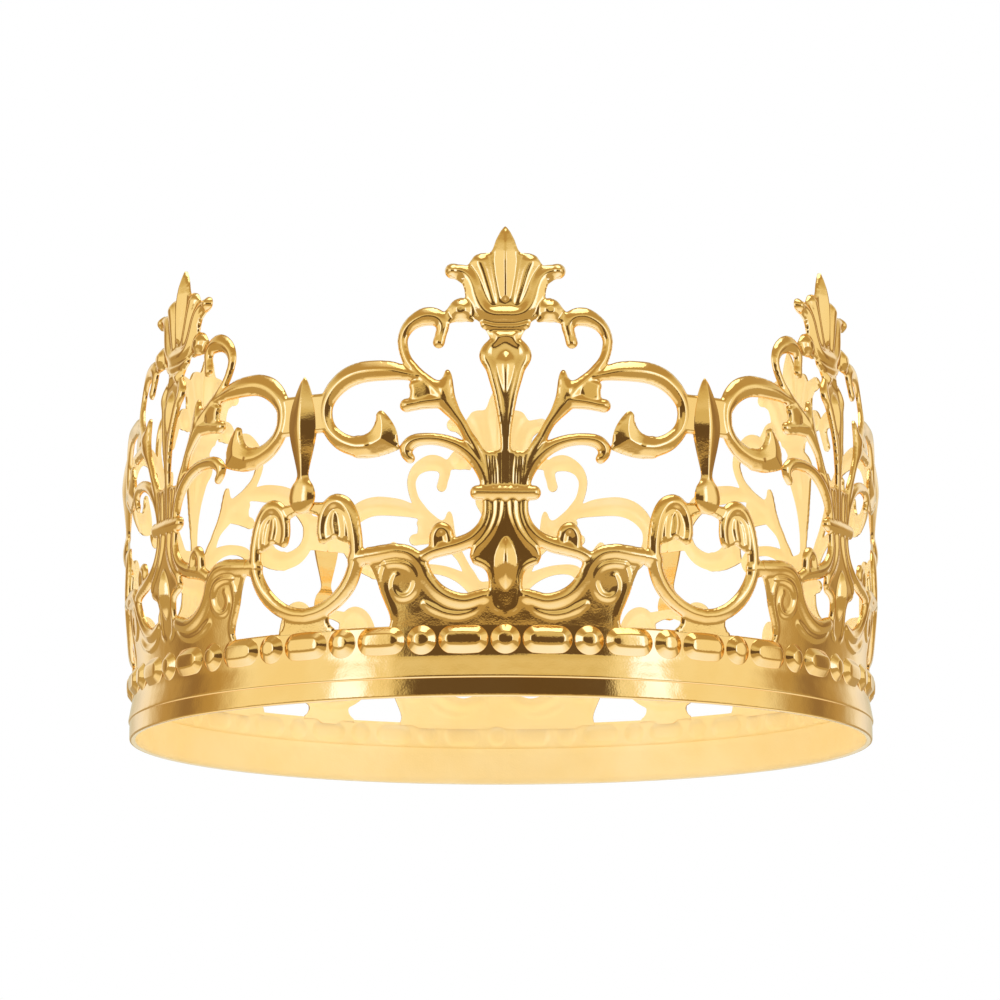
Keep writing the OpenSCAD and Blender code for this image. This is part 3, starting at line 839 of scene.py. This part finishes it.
world = bpy.data.worlds.new("studio")
scene.world = world
world.use_nodes = True
world.node_tree.nodes.clear()
new, link, ramp = shader_kit(world.node_tree)


def plug(value, socket):
    """Link a socket to another, or set it to a plain value."""
    if isinstance(value, bpy.types.NodeSocket):
        link(value, socket)
    else:
        socket.default_value = value


def maths(operation, *values):
    """The result of a sum on one or two sockets or numbers."""
    node = new("ShaderNodeMath")
    node.operation = operation
    for value, socket in zip(values, node.inputs):
        plug(value, socket)
    return node.outputs[0]


def blend(factor, a, b):
    """Colour a where the factor is 0 and b where it is 1."""
    node = new("ShaderNodeMix")
    node.data_type = "RGBA"
    link(factor, node.inputs["Factor"])
    plug((*a, 1) if isinstance(a, tuple) else a, node.inputs["A"])
    plug((*b, 1) if isinstance(b, tuple) else b, node.inputs["B"])
    return node.outputs["Result"]


split = new("ShaderNodeSeparateXYZ")
link(new("ShaderNodeTexCoord").outputs["Generated"], split.inputs[0])
x, y, z = split.outputs
DEGREES = 180 / math.pi
azimuth = maths("MULTIPLY", maths("ARCTAN2", x, maths("MULTIPLY", y, -1.0)), DEGREES)
height = maths("MULTIPLY", maths("ARCSINE", z), DEGREES)
room = blend(ramp(height, LEVEL, -90, 90), ramp(height, OVER, -90, 90),
             ramp(maths("ABSOLUTE", azimuth), AROUND, 0, 180))
for across, up in DOORWAY:
    dark = maths("MULTIPLY", ramp(azimuth, across, -180, 180), ramp(height, up, -90, 90))
    room = blend(dark, room, DARK)
path = new("ShaderNodeLightPath")
lit = new("ShaderNodeBackground")
link(blend(path.outputs["Is Diffuse Ray"], room, SOFT), lit.inputs["Color"])
seen = new("ShaderNodeBackground")
seen.inputs["Color"].default_value = (1, 1, 1, 1)
pick = new("ShaderNodeMixShader")
link(path.outputs["Is Camera Ray"], pick.inputs["Fac"])
link(lit.outputs[0], pick.inputs[1])
link(seen.outputs[0], pick.inputs[2])
link(pick.outputs[0], new("ShaderNodeOutputWorld").inputs["Surface"])

area = bpy.data.lights.new("soft_top", "AREA")
area.shape = "DISK"
area.size = 1.2
area.energy = 6
area.color = (0.6, 0.8, 1.0)
lamp = bpy.data.objects.new("soft_top", area)
lamp.location = (0.2, -0.2, 1.6)
scene.collection.objects.link(lamp)

# The camera's tilt above level and its turn, in degrees
TILT = 10.44
TURN = -0.636
camera_data = bpy.data.cameras.new("camera")
camera_data.sensor_width = 36
camera_data.lens = 138.96
camera_data.clip_start, camera_data.clip_end = 0.05, 50
camera = bpy.data.objects.new("camera", camera_data)
scene.collection.objects.link(camera)
scene.camera = camera
camera.location = (-0.00892, -0.78648, -0.09397)
camera.rotation_euler = (math.radians(90 + TILT), 0, math.radians(TURN))
